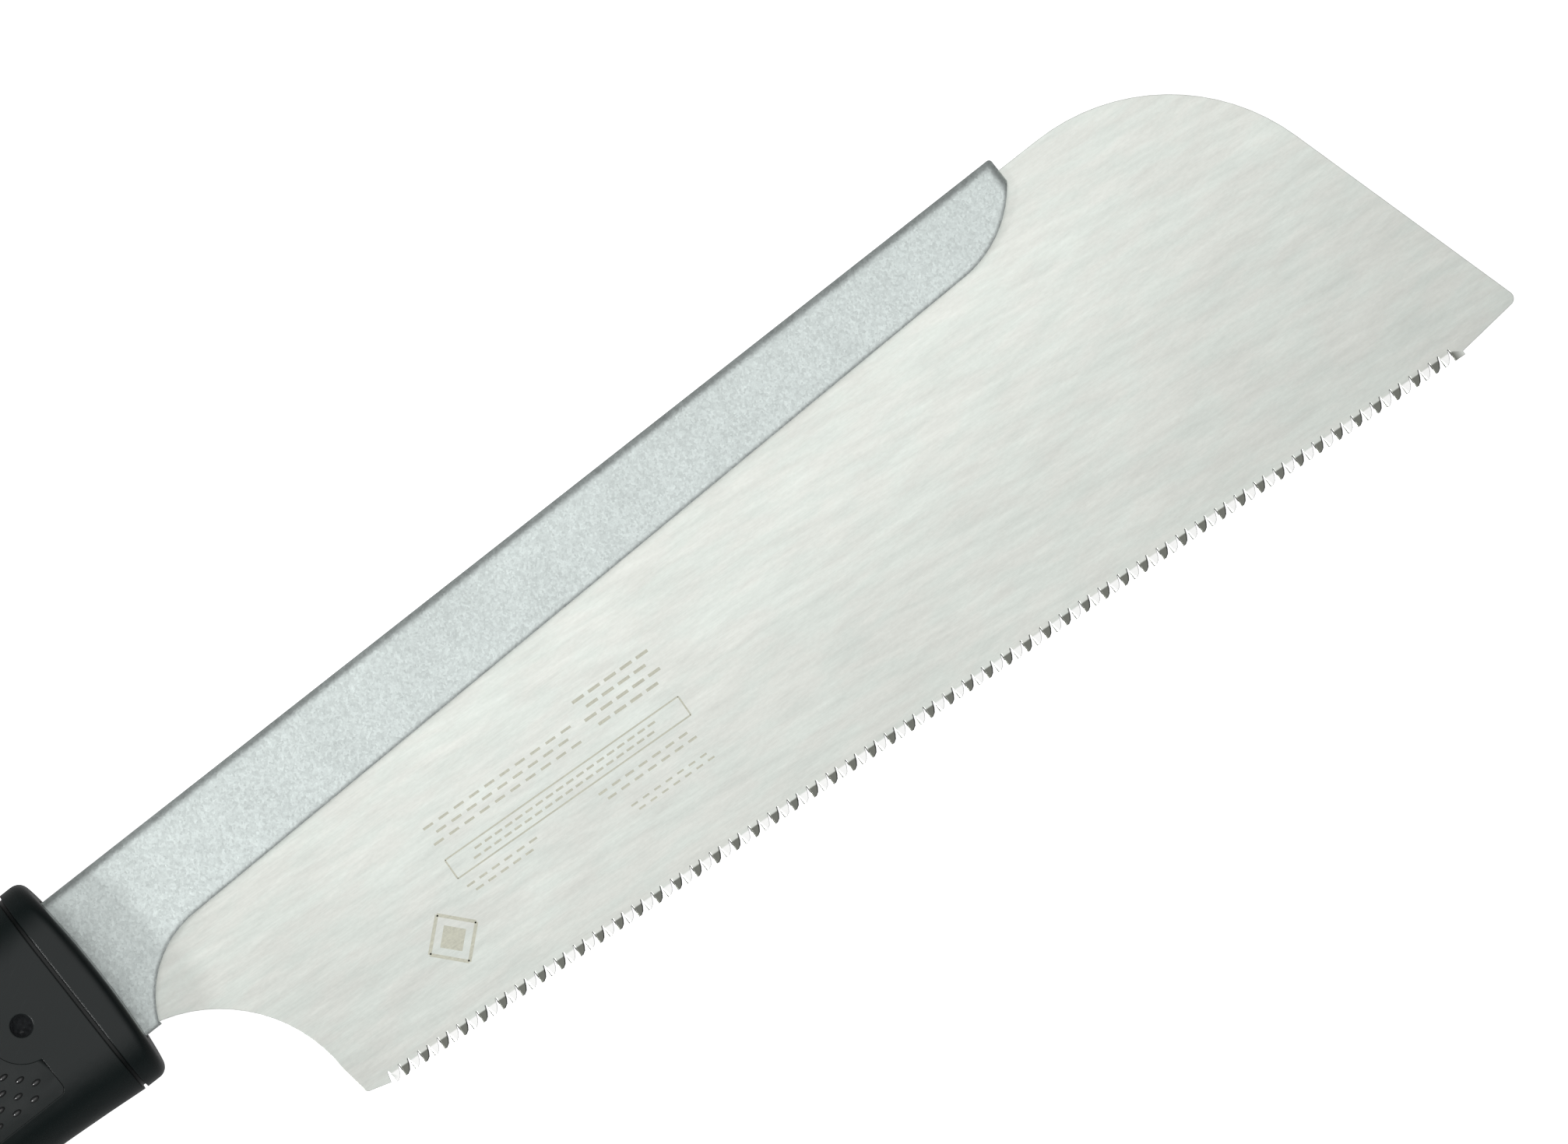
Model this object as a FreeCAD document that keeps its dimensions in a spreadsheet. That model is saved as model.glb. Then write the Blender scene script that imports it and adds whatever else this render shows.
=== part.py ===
"""Pull saw with a stiffening back: a thin toothed blade crimped in a folded steel back, whose forked
tang slides into a two-shell plastic handle and is held there by one clamping screw.

Millimetres. X runs along the saw from the butt to the blade's tip, Y lies in the blade's plane towards
the back, and Z is the blade's normal. The saw lies on its side. Inside each piece's sketches x = 0 is
the crown of the handle's front collar, y = 0 the handle's axis and z = 0 the middle of the blade. The
placements then move every piece so that the middle of the underside of the whole saw is the origin.
"""
import FreeCAD, Part
import math
import os
import Sketcher

DIMENSIONS = [
    # blade
    ("blade_thickness", 0.3),
    ("blade_reach", 196.65),        # toe corner, before it is rounded
    ("blade_top", 9.6),             # straight upper edge above the axis
    ("toe_drop", 44.5),             # toe corner below the axis
    ("toe_rounding", 1.0),
    ("toe_edge_drop", 45.5),        # where the plain edge at the toe meets the teeth
    ("shoulder_radius", 27.5),
    ("front_lean", 15.69),          # degrees from square
    ("tooth_row_start", 20.6),
    ("tooth_lead", 0.55),           # open space before the first tooth
    ("tooth_row_finish", 186.85),
    ("tooth_line_drop", 33.34),     # tooth tips below the axis, at x = 0
    ("tooth_line_angle", 3.88),     # degrees, down towards the toe
    ("tooth_pitch", 1.51),
    ("tooth_depth", 1.75),
    ("tooth_slant", 0.14),          # how far a gullet shifts between the blade's two faces
    ("heel_corner_back", 17.35),
    ("heel_corner_drop", 33.45),
    ("heel_edge_drop", 34.4),
    ("heel_rounding", 0.5),
    ("heel_radius", 20.06),
    ("heel_centre_back", 3.3),
    ("heel_centre_drop", 29.16),
    # folded back and its tang
    ("back_top", 11.5),
    ("back_reach", 154.3),
    ("back_sheet", 1.35),
    ("back_heel_depth", 13.1),      # depth of the back where its straight lower edge starts
    ("back_toe_depth", 10.0),
    ("back_heel_start", 14.47),
    ("back_toe_start", 141.9),
    ("back_toe_radius", 15.2),
    ("back_corner", 0.5),
    ("throat_radius", 13.7),
    ("tang_depth", 21.75),
    ("tang_front", 2.0),
    ("tang_length", 34.0),
    ("tang_chamfer", 2.5),
    ("tongue_bottom_gap", 0.75),    # blade's hidden tongue inside the tang
    ("tongue_rear_gap", 2.0),
    ("fork_clearance", 0.2),        # around the lock screw's shank
    # handle
    ("handle_length", 150.0),
    ("handle_height", 31.0),
    ("handle_width", 20.0),
    ("handle_corner", 8.0),
    ("waist_back", 45.0),
    ("waist_height", 28.0),
    ("waist_width", 19.0),
    ("palm_from_butt", 52.0),
    ("palm_height", 30.2),
    ("palm_width", 21.0),
    ("collar_length", 4.2),
    ("collar_crown_radius", 121.0),
    ("collar_rounding", 1.6),
    ("mouth_gap", 0.3),
    ("seam_width", 0.6),
    ("seam_depth", 0.5),
    ("recess_wall", 1.3),           # plastic left between the hollow and the pad's recess
    ("holder_room", 0.2),           # above and below the tang holder
    ("hollow_front", 44.0),
    ("hollow_from_butt", 37.0),
    ("hollow_height", 18.0),
    ("hollow_corner", 4.0),
    # grip pads
    ("pad_front", 12.6),
    ("pad_from_butt", 38.0),
    ("pad_height", 19.0),
    ("pad_corner", 4.0),
    ("pad_nose_radius", 1.0),
    ("pad_bite_radius", 5.0),
    ("pad_inlay", 1.6),
    ("pad_proud", 0.5),
    # tang holder
    ("holder_sheet", 1.2),
    ("holder_gap", 0.06),           # each side of the tang
    ("holder_length", 34.0),
    ("holder_fit", 0.1),            # holder in the shells
    ("holder_pin_radius", 1.5),
    ("holder_pin_fit", 0.05),
    ("holder_pin_back", 38.0),
    ("holder_pin_half_length", 7.0),
    # lock screw
    ("lock_back", 12.0),
    ("lock_shank_radius", 1.5),
    ("lock_head_radius", 2.75),
    ("lock_head_height", 3.0),
    ("lock_key", 2.5),              # across the flats of the socket
    ("lock_key_depth", 1.6),
    ("lock_fit", 0.1),
    ("lock_head_room", 1.3),        # above the head, in its pocket
    ("lock_access_radius", 1.5),    # hole in the shell that the key goes through
    ("lock_tip_reach", 1.0),        # past the nut
    ("lock_chamfer", 0.3),
    ("washer_thickness", 0.8),
    ("washer_radius", 2.75),
    ("washer_slit", 0.8),
    ("nut_flats", 5.5),
    ("nut_thickness", 1.8),
    # shell screws
    ("screw_front", 52.0),
    ("screw_from_butt", 28.0),
    ("screw_count", 3),
    ("screw_radius", 1.5),
    ("screw_pilot_radius", 1.45),
    ("screw_head_radius", 2.8),
    ("screw_head_height", 2.0),
    ("screw_cross_width", 0.9),
    ("screw_cross_reach", 1.68),
    ("screw_point", 1.0),
    ("screw_pilot_spare", 0.3),     # empty hole below the screw's point
    ("screw_clearance", 0.15),
    ("screw_sink", 0.6),
    ("screw_bite", 6.5),            # how far a screw reaches past the joint of the shells
    ("boss_radius", 3.6),
    ("boss_root", 0.5),             # how far a boss runs into the wall that carries it
    # butt
    ("cap_length", 22.0),
    ("cap_corner", 11.0),
    ("tongue_length", 12.0),
    ("tongue_height", 16.0),
    ("tongue_width", 8.0),
    ("tongue_fit", 0.1),
    ("eyelet_from_butt", 13.0),
    ("eyelet_bore_radius", 3.5),
    ("eyelet_wall", 0.7),
    ("eyelet_rim_radius", 4.9),
    ("eyelet_rim_thickness", 0.6),
    ("eyelet_fit", 0.05),
    # how far a cutting outline runs past what it cuts
    ("overcut", 1.0),
]
TOUCH = 1e-3                        # two points closer than this are the same one
# A gullet from one tooth's tip to the next: shares of the pitch along it, and of the depth up it.
GULLET = [(0.18, 0.0), (0.48, 0.18), (0.68, 0.48), (0.80, 0.80), (0.88, 1.0), (0.96, 1.0), (0.99, 0.0)]

doc = FreeCAD.newDocument("back_saw")
sheet = doc.addObject("Spreadsheet::Sheet", "Sizes")
for row, (alias, value) in enumerate(DIMENSIONS, start=1):
    sheet.set(f"A{row}", alias)
    sheet.set(f"B{row}", str(value))
    sheet.setAlias(f"B{row}", alias)
doc.recompute()

ALIASES = sorted((alias for alias, _ in DIMENSIONS), key=len, reverse=True)


def bound(text):
    """Writes a formula of aliases as a formula of sheet cells."""
    words = []
    word = ""
    for letter in text + " ":
        if letter.isalnum() or letter == "_":
            word += letter
            continue
        words.append("Sizes." + word if word in ALIASES else word)
        words.append(letter)
        word = ""
    return "".join(words).strip()


def size(text):
    """The present value of a formula of aliases."""
    value = sheet.evalExpression(bound(str(text)))
    return float(getattr(value, "Value", value))


# Formulas that several pieces share.
FIRST_TOOTH = "(tooth_row_start + tooth_lead)"
BACK_THICKNESS = "(2 * back_sheet + blade_thickness)"
TANG_BOTTOM = "(back_top - tang_depth)"
TANG_MIDDLE = "(back_top - tang_depth / 2)"
HOLDER_INSIDE = f"({BACK_THICKNESS} / 2 + holder_gap)"
HOLDER_OUTSIDE = f"({HOLDER_INSIDE} + holder_sheet)"
HOLDER_FRONT = "(collar_length + seam_width)"
HOLDER_REAR = f"({HOLDER_FRONT} + holder_length)"
SHELL_FRONT = "(collar_length + seam_width)"
PALM_BACK = "(handle_length - palm_from_butt)"
HOLLOW_REAR = "(handle_length - hollow_from_butt)"
PAD_REAR = "(handle_length - pad_from_butt)"
SCREW_REAR = "(handle_length - screw_from_butt)"
EYELET_BACK = "(handle_length - eyelet_from_butt)"
CAP_FRONT = "(handle_length - cap_length)"
HALF_WIDTH = "(handle_width / 2)"
PAD_FLOOR = "(waist_width / 2 - pad_inlay)"
HOLLOW_DEPTH = f"({PAD_FLOOR} - recess_wall)"
LOCK_SEAT = HOLDER_OUTSIDE
LOCK_HEAD_TOP = f"({LOCK_SEAT} + washer_thickness + lock_head_height)"
SCREW_PITCH = f"(({SCREW_REAR} - screw_front) / (screw_count - 1))"
SCREW_HEAD_TOP = f"({PAD_FLOOR} - screw_sink)"
TOOTH_BOTTOM_DROP = "(tooth_line_drop + tooth_row_finish * tan(tooth_line_angle))"


def saw_placement(piece, along="0", across="0", up="0"):
    """Moves a piece from the sketches' frame to the saw's own, whose origin is under its middle."""
    middle_x = "(handle_length - blade_reach) / 2"
    middle_y = f"({TOOTH_BOTTOM_DROP} - handle_height / 2) / 2"
    underside = "palm_width / 2 + pad_proud"
    piece.setExpression(".Placement.Base.x", bound(f"{along} + {middle_x}"))
    piece.setExpression(".Placement.Base.y", bound(f"{across} + {middle_y}"))
    piece.setExpression(".Placement.Base.z", bound(f"{up} + {underside}"))


def new_body(name):
    body = doc.addObject("PartDesign::Body", name)
    body.Label = name
    return body


def plane(body, role):
    return next(f for f in body.Origin.OriginFeatures if f.Role == role)


def new_sketch(body, name, role="XY_Plane", offset="0"):
    """A sketch on one of the body's own origin planes, moved along the plane's normal."""
    sketch = body.newObject("Sketcher::SketchObject", name)
    sketch.AttachmentSupport = [(plane(body, role), "")]
    sketch.MapMode = "FlatFace"
    sketch.setExpression(".AttachmentOffset.Base.z", bound(offset))
    return sketch


def fix_point(sketch, geometry, end, across, up):
    """Holds one end of a line or arc at a place given by two formulas."""
    for kind, formula in (("DistanceX", across), ("DistanceY", up)):
        constraint = Sketcher.Constraint(kind, -1, 1, geometry, end, size(formula))
        index = sketch.addConstraint(constraint)
        sketch.setExpression(f"Constraints[{index}]", bound(formula))


def arc_between(start, finish, radius, left):
    """The short arc from start to finish whose centre is on the left or right of the way.

    Sketches keep their arcs anticlockwise, so an arc with its centre on the right is drawn backwards.
    """
    chord = finish - start
    middle = (start + finish) / 2
    rise = math.sqrt(max(radius ** 2 - (chord.Length / 2) ** 2, 0))
    side = FreeCAD.Vector(-chord.y, chord.x, 0).normalize() * (1 if left else -1)
    bulge = middle + side * (rise - radius)
    return Part.Arc(start, bulge, finish) if left else Part.Arc(finish, bulge, start)


def add_outline(sketch, corners):
    """A closed outline. Each corner is (across, up) and may add (radius, left) for the arc after it."""
    points = [FreeCAD.Vector(size(c[0]), size(c[1]), 0) for c in corners]
    first = sketch.GeometryCount
    count = len(corners)
    starts = []
    for i, corner in enumerate(corners):
        start, finish = points[i], points[(i + 1) % count]
        if len(corner) == 2:
            sketch.addGeometry(Part.LineSegment(start, finish))
            starts.append(1)
            continue
        sketch.addGeometry(arc_between(start, finish, size(corner[2]), corner[3]))
        starts.append(1 if corner[3] else 2)
    for i in range(count):
        following = (i + 1) % count
        sketch.addConstraint(Sketcher.Constraint(
            "Coincident", first + i, 3 - starts[i], first + following, starts[following]))
    for i, corner in enumerate(corners):
        fix_point(sketch, first + i, starts[i], corner[0], corner[1])
        if len(corner) > 2:
            index = sketch.addConstraint(Sketcher.Constraint("Radius", first + i, size(corner[2])))
            sketch.setExpression(f"Constraints[{index}]", bound(corner[2]))


def add_circle(sketch, across, up, radius):
    centre = FreeCAD.Vector(size(across), size(up), 0)
    index = sketch.addGeometry(Part.Circle(centre, FreeCAD.Vector(0, 0, 1), size(radius)))
    fix_point(sketch, index, 3, across, up)
    radius_index = sketch.addConstraint(Sketcher.Constraint("Radius", index, size(radius)))
    sketch.setExpression(f"Constraints[{radius_index}]", bound(radius))


def box_corners(low_x, low_y, high_x, high_y):
    return [(low_x, low_y), (high_x, low_y), (high_x, high_y), (low_x, high_y)]


def rounded_corners(low_x, low_y, high_x, high_y, radius):
    """A rectangle with quarter-round corners, walked anticlockwise."""
    return [
        (f"{low_x} + {radius}", low_y),
        (f"{high_x} - {radius}", low_y, radius, True),
        (high_x, f"{low_y} + {radius}"),
        (high_x, f"{high_y} - {radius}", radius, True),
        (f"{high_x} - {radius}", high_y),
        (f"{low_x} + {radius}", high_y, radius, True),
        (low_x, f"{high_y} - {radius}"),
        (low_x, f"{low_y} + {radius}", radius, True),
    ]


def add_feature(body, kind, name, sketch, length=None, both=False, reverse=False):
    """A pad or pocket. With no length it goes through everything."""
    before = body.Shape.Volume if body.Tip else 0
    feature = body.newObject("PartDesign::" + kind, name)
    feature.Profile = sketch
    feature.Midplane = both
    feature.Reversed = reverse
    if length is None:
        feature.Type = "ThroughAll"
    else:
        feature.setExpression("Length", bound(length))
    sketch.Visibility = False
    doc.recompute()
    change = feature.Shape.Volume - before
    if (change < 0) != (kind == "Pocket") or abs(change) < 1e-6:
        raise RuntimeError(f"{body.Label}: {name} changes the volume by {change:.4f}")
    return feature


def round_edges(body, name, radius, chosen):
    """Rounds the edges that the chosen test picks."""
    base = body.Tip
    names = [f"Edge{i}" for i, edge in enumerate(base.Shape.Edges, start=1) if chosen(edge)]
    if not names:
        raise RuntimeError(f"{body.Label}: {name} finds no edge")
    feature = body.newObject("PartDesign::Fillet", name)
    feature.Base = (base, names)
    feature.setExpression("Radius", bound(radius))
    doc.recompute()
    return feature


def is_upright_at(edge, across, up):
    """Whether an edge runs along Z through a point of the XY plane."""
    ends = [v.Point for v in edge.Vertexes]
    target = FreeCAD.Vector(size(across), size(up), 0)
    near = [FreeCAD.Vector(p.x, p.y, 0).distanceToPoint(target) < TOUCH for p in ends]
    return len(ends) == 2 and all(near)


# ---------------------------------------------------------------- blade unit

def add_fork(body):
    """The open slot that lets the tang pass the lock screw's shank."""
    half = "(lock_shank_radius + fork_clearance)"
    sketch = new_sketch(body, body.Label + "_fork_outline")
    low, high = f"{TANG_MIDDLE} - {half}", f"{TANG_MIDDLE} + {half}"
    add_outline(sketch, [
        ("-tang_length - overcut", low),
        ("-lock_back", low, half, True),
        (f"-lock_back + {half}", TANG_MIDDLE, half, True),
        ("-lock_back", high),
        ("-tang_length - overcut", high),
    ])
    return add_feature(body, "Pocket", body.Label + "_fork", sketch, both=True)


def add_gullets(body, name, first, slant):
    """Every second gullet, cut aslant so that the teeth are bevelled to alternate sides."""
    sketch = new_sketch(body, name + "_outline")
    sketch.setExpression(".AttachmentOffset.Base.x", bound(first))
    drop = f"tooth_line_drop + ({first}) * tan(tooth_line_angle)"
    sketch.setExpression(".AttachmentOffset.Base.y", bound(f"-({drop})"))
    sketch.AttachmentOffset = FreeCAD.Placement(
        sketch.AttachmentOffset.Base, FreeCAD.Rotation(FreeCAD.Vector(0, 0, 1), -size("tooth_line_angle")))
    corners = [(f"{along} * tooth_pitch", f"{up} * tooth_depth") for along, up in GULLET]
    below = "-overcut"
    add_outline(sketch, [(corners[0][0], below), *corners, (corners[-1][0], below)])
    cut = body.newObject("PartDesign::Pocket", name)
    cut.Profile = sketch
    cut.Midplane = True
    cut.setExpression("Length", bound("blade_thickness * 3"))
    cut.UseCustomVector = True
    cut.Direction = FreeCAD.Vector(slant * size("tooth_slant / blade_thickness"), 0, 1)
    cut.AlongSketchNormal = True
    doc.recompute()
    run = size("(tooth_row_finish - (" + first + ")) / cos(tooth_line_angle)")
    step = size("2 * tooth_pitch")
    row_of_cuts = body.newObject("PartDesign::LinearPattern", name + "_row")
    row_of_cuts.Originals = [cut]
    row_of_cuts.Direction = (sketch, ["H_Axis"])
    row_of_cuts.Occurrences = int((run - size("tooth_pitch")) / step) + 1
    row_of_cuts.Length = step * (row_of_cuts.Occurrences - 1)
    body.Tip = row_of_cuts
    doc.recompute()


def make_blade():
    """The 0.3 mm blade, with a hidden tongue that runs back inside the tang."""
    body = new_body("blade")
    sketch = new_sketch(body, "blade_outline")
    shoulder_y = "(blade_top - shoulder_radius)"
    turn_x = "(shoulder_radius * cos(front_lean))"
    turn_y = f"({shoulder_y} + shoulder_radius * sin(front_lean))"
    shoulder_x = f"(blade_reach - {turn_x} - ({turn_y} + toe_drop) * tan(front_lean))"
    tip_line = "(-tooth_line_drop - {0} * tan(tooth_line_angle))"
    tongue_bottom = f"({TANG_BOTTOM} + tongue_bottom_gap)"
    tongue_rear = "(-tang_length + tongue_rear_gap)"
    heel_rise = f"({tongue_bottom} + heel_centre_drop)"
    heel_start = f"(sqrt(heel_radius ^ 2 - {heel_rise} ^ 2) - heel_centre_back)"
    add_outline(sketch, [
        (tongue_rear, tongue_bottom),
        (heel_start, tongue_bottom, "heel_radius", False),
        ("heel_radius - heel_centre_back", "-heel_centre_drop"),
        ("heel_corner_back", "-heel_corner_drop"),
        ("tooth_row_start", "-heel_edge_drop"),
        (f"{FIRST_TOOTH} - tooth_lead / 4", tip_line.format(FIRST_TOOTH) + " + tooth_depth"),
        (FIRST_TOOTH, tip_line.format(FIRST_TOOTH) + " + tooth_depth"),
        (FIRST_TOOTH, tip_line.format(FIRST_TOOTH)),
        ("tooth_row_finish", tip_line.format("tooth_row_finish")),
        ("tooth_row_finish", "-toe_edge_drop"),
        ("blade_reach", "-toe_drop"),
        (f"{shoulder_x} + {turn_x}", turn_y, "shoulder_radius", True),
        (shoulder_x, "blade_top"),
        (tongue_rear, "blade_top"),
    ])
    add_feature(body, "Pad", "blade_sheet", sketch, "blade_thickness", both=True)
    round_edges(body, "toe_round", "toe_rounding", lambda e: is_upright_at(e, "blade_reach", "-toe_drop"))
    round_edges(body, "heel_round", "heel_rounding",
                lambda e: is_upright_at(e, "heel_corner_back", "-heel_corner_drop"))
    add_fork(body)
    add_gullets(body, "gullets_near", FIRST_TOOTH, 1)
    add_gullets(body, "gullets_far", f"{FIRST_TOOTH} + tooth_pitch * cos(tooth_line_angle)", -1)
    saw_placement(body)
    return body


def make_back():
    """The folded steel back: two cheeks joined over the blade's upper edge, and the tang."""
    body = new_body("folded_back")
    sketch = new_sketch(body, "back_outline")
    lower_heel = "(back_top - back_heel_depth)"
    lower_toe = "(back_top - back_toe_depth)"
    toe_centre = f"({lower_toe} + back_toe_radius)"
    toe_rise = "sqrt(back_toe_radius ^ 2 - (back_reach - back_toe_start) ^ 2)"
    corner_drop = f"({lower_heel} - throat_radius - {TANG_BOTTOM} - back_corner)"
    throat_x = f"(back_heel_start - sqrt(throat_radius ^ 2 - {corner_drop} ^ 2))"
    add_outline(sketch, [
        ("-tang_length + tang_chamfer", TANG_BOTTOM),
        ("tang_front", TANG_BOTTOM),
        (throat_x, f"{TANG_BOTTOM} + back_corner", "throat_radius", False),
        ("back_heel_start", lower_heel),
        ("back_toe_start", lower_toe, "back_toe_radius", True),
        ("back_reach", f"{toe_centre} - {toe_rise}"),
        ("back_reach", "back_top - back_corner", "back_corner", True),
        ("back_reach - back_corner", "back_top"),
        ("-tang_length + tang_chamfer", "back_top"),
        ("-tang_length", "back_top - tang_chamfer"),
        ("-tang_length", f"{TANG_BOTTOM} + tang_chamfer"),
    ])
    add_feature(body, "Pad", "back_sheet_pad", sketch, BACK_THICKNESS, both=True)
    fold = new_sketch(body, "fold_gap_outline")
    add_outline(fold, box_corners("-tang_length - overcut", f"{TANG_BOTTOM} - overcut",
                                  "back_reach + overcut", "blade_top"))
    add_feature(body, "Pocket", "fold_gap", fold, "blade_thickness", both=True)

    def on_fold(edge):
        ends = [v.Point for v in edge.Vertexes]
        top = size("back_top")
        return edge.Length > size("back_reach") / 2 and all(abs(p.y - top) < TOUCH for p in ends)

    round_edges(body, "fold_round", "back_sheet", on_fold)
    add_fork(body)
    saw_placement(body)
    return body


# ---------------------------------------------------------------- handle

def half_section(height, width, side, proud="0"):
    """Half of the handle's rounded cross-section, on one side of the joint of the shells."""
    sign = "" if side > 0 else "-"
    top = f"{sign}({width} / 2 + {proud})"
    turn = f"{sign}({width} / 2 - handle_corner)"
    left = side > 0
    rounding = f"(handle_corner + {proud})" if proud != "0" else "handle_corner"
    edge = f"({height} / 2 + {proud})" if proud != "0" else f"({height} / 2)"
    flat = f"({height} / 2 - handle_corner)"
    return [
        (f"-{edge}", "0"),
        (edge, "0"),
        (edge, turn, rounding, left),
        (flat, top),
        (f"-{flat}", top, rounding, left),
        (f"-{edge}", turn),
    ]


def loft_half(body, side, proud="0"):
    """One half of the handle's outside, from the collar to the cap."""
    stations = [
        (SHELL_FRONT, "handle_height", "handle_width"),
        ("waist_back", "waist_height", "waist_width"),
        (PALM_BACK, "palm_height", "palm_width"),
        (CAP_FRONT, "handle_height", "handle_width"),
    ]
    sections = []
    for number, (back, height, width) in enumerate(stations, start=1):
        sketch = new_sketch(body, f"{body.Label}_section_{number}", "YZ_Plane", f"-{back}")
        add_outline(sketch, half_section(height, width, side, proud))
        sections.append(sketch)
    doc.recompute()
    loft = body.newObject("PartDesign::AdditiveLoft", body.Label + "_loft")
    loft.Profile = sections[0]
    loft.Sections = sections[1:]
    loft.Ruled = False
    doc.recompute()
    return loft


def pad_outline(sketch):
    """The grip pad's outline, with a bite around the lock screw."""
    half = "(pad_height / 2)"
    bite_low = f"{TANG_MIDDLE} - sqrt(pad_bite_radius ^ 2 - (pad_front - lock_back) ^ 2)"
    bite_high = f"{TANG_MIDDLE} + sqrt(pad_bite_radius ^ 2 - (pad_front - lock_back) ^ 2)"
    add_outline(sketch, [
        (f"-{PAD_REAR} + pad_corner", f"-{half}"),
        ("-pad_front - pad_nose_radius", f"-{half}", "pad_nose_radius", True),
        ("-pad_front", f"-{half} + pad_nose_radius"),
        ("-pad_front", bite_low, "pad_bite_radius", False),
        ("-lock_back - pad_bite_radius", TANG_MIDDLE, "pad_bite_radius", False),
        ("-pad_front", bite_high),
        ("-pad_front", f"{half} - pad_nose_radius", "pad_nose_radius", True),
        ("-pad_front - pad_nose_radius", half),
        (f"-{PAD_REAR} + pad_corner", half, "pad_corner", True),
        (f"-{PAD_REAR}", f"{half} - pad_corner"),
        (f"-{PAD_REAR}", f"-{half} + pad_corner", "pad_corner", True),
    ])


def screw_places():
    count = int(size("screw_count"))
    return [f"(-screw_front - {number} * {SCREW_PITCH})" for number in range(count)]


def pocket_from(body, name, level, side, shape, depth=None):
    """Cuts outwards from a level on the given side of the joint of the shells."""
    sign = "" if side > 0 else "-"
    sketch = new_sketch(body, f"{name}_outline", offset=f"{sign}({level})")
    shape(sketch)
    return add_feature(body, "Pocket", name, sketch, depth, reverse=side > 0)


def make_shell(name, side):
    """One moulded half of the handle.

    The lock screw's head is captive in the left one, behind a hole for its key, and its nut in the right.
    """
    body = new_body(name)
    loft_half(body, side)

    spigot = new_sketch(body, name + "_spigot_outline", "YZ_Plane", f"-{SHELL_FRONT}")
    spigot_height, spigot_width = "(handle_height - 2 * seam_depth)", "(handle_width - 2 * seam_depth)"
    add_outline(spigot, half_section(spigot_height, spigot_width, side))
    add_feature(body, "Pad", name + "_spigot", spigot, "seam_width")

    def holder_cavity(sketch):
        add_outline(sketch, box_corners(f"-{HOLDER_REAR} - holder_fit", f"{TANG_BOTTOM} - holder_room",
                                        "0", "back_top + holder_sheet + holder_room"))
    pocket_from(body, name + "_holder_cavity", "0", side, holder_cavity, f"{HOLDER_OUTSIDE} + holder_fit")

    def hollow(sketch):
        add_outline(sketch, rounded_corners(f"-{HOLLOW_REAR}", "-hollow_height / 2",
                                            "-hollow_front", "hollow_height / 2", "hollow_corner"))
    pocket_from(body, name + "_hollow", "0", side, hollow, HOLLOW_DEPTH)

    bosses = new_sketch(body, name + "_boss_outline")
    for place in screw_places()[:-1]:
        add_circle(bosses, place, "0", "boss_radius")
    add_feature(body, "Pad", name + "_bosses", bosses, f"{HOLLOW_DEPTH} + boss_root", reverse=side < 0)

    def tongue_cavity(sketch):
        add_outline(sketch, box_corners(f"-{CAP_FRONT} - overcut", "-tongue_height / 2 - tongue_fit",
                                        f"-{CAP_FRONT} + tongue_length + tongue_fit",
                                        "tongue_height / 2 + tongue_fit"))
    pocket_from(body, name + "_tongue_cavity", "0", side, tongue_cavity, "tongue_width / 2 + tongue_fit")

    pocket_from(body, name + "_pad_recess", PAD_FLOOR, side, pad_outline)

    def pin_hole(sketch):
        add_circle(sketch, "-holder_pin_back", TANG_MIDDLE, "holder_pin_radius + holder_pin_fit")
    pocket_from(body, name + "_pin_hole", "0", side, pin_hole, "holder_pin_half_length + holder_pin_fit")

    if side > 0:
        def access_hole(sketch):
            add_circle(sketch, "-lock_back", TANG_MIDDLE, "lock_access_radius")
        pocket_from(body, name + "_lock_access", "0", side, access_hole)

        def head_pocket(sketch):
            add_circle(sketch, "-lock_back", TANG_MIDDLE, "lock_head_radius + lock_fit")
        pocket_from(body, name + "_lock_head_pocket", "0", side, head_pocket,
                    f"{LOCK_HEAD_TOP} + lock_head_room")

        def pilot_holes(sketch):
            for place in screw_places():
                add_circle(sketch, place, "0", "screw_radius")
        pocket_from(body, name + "_pilot_holes", "0", side, pilot_holes,
                    "screw_bite + screw_pilot_spare")
    else:
        def nut_pocket(sketch):
            half = "(nut_flats / 2 + lock_fit)"
            add_outline(sketch, box_corners(f"-lock_back - {half}", f"{TANG_MIDDLE} - {half}",
                                            f"-lock_back + {half}", f"{TANG_MIDDLE} + {half}"))
        pocket_from(body, name + "_nut_pocket", "0", side, nut_pocket,
                    f"{HOLDER_OUTSIDE} + nut_thickness + holder_fit + lock_fit")

        def tip_hole(sketch):
            add_circle(sketch, "-lock_back", TANG_MIDDLE, "lock_shank_radius + lock_fit")
        pocket_from(body, name + "_tip_hole", "0", side, tip_hole,
                    f"{HOLDER_OUTSIDE} + nut_thickness + lock_tip_reach + overcut")

        def clearance_holes(sketch):
            for place in screw_places():
                add_circle(sketch, place, "0", "screw_radius + screw_clearance")
        pocket_from(body, name + "_screw_holes", "0", side, clearance_holes)

        def head_holes(sketch):
            for place in screw_places():
                add_circle(sketch, place, "0", "screw_head_radius + screw_clearance")
        pocket_from(body, name + "_screw_counterbores", f"{SCREW_HEAD_TOP} - screw_head_height", side,
                    head_holes)
    saw_placement(body)
    return body


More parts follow.
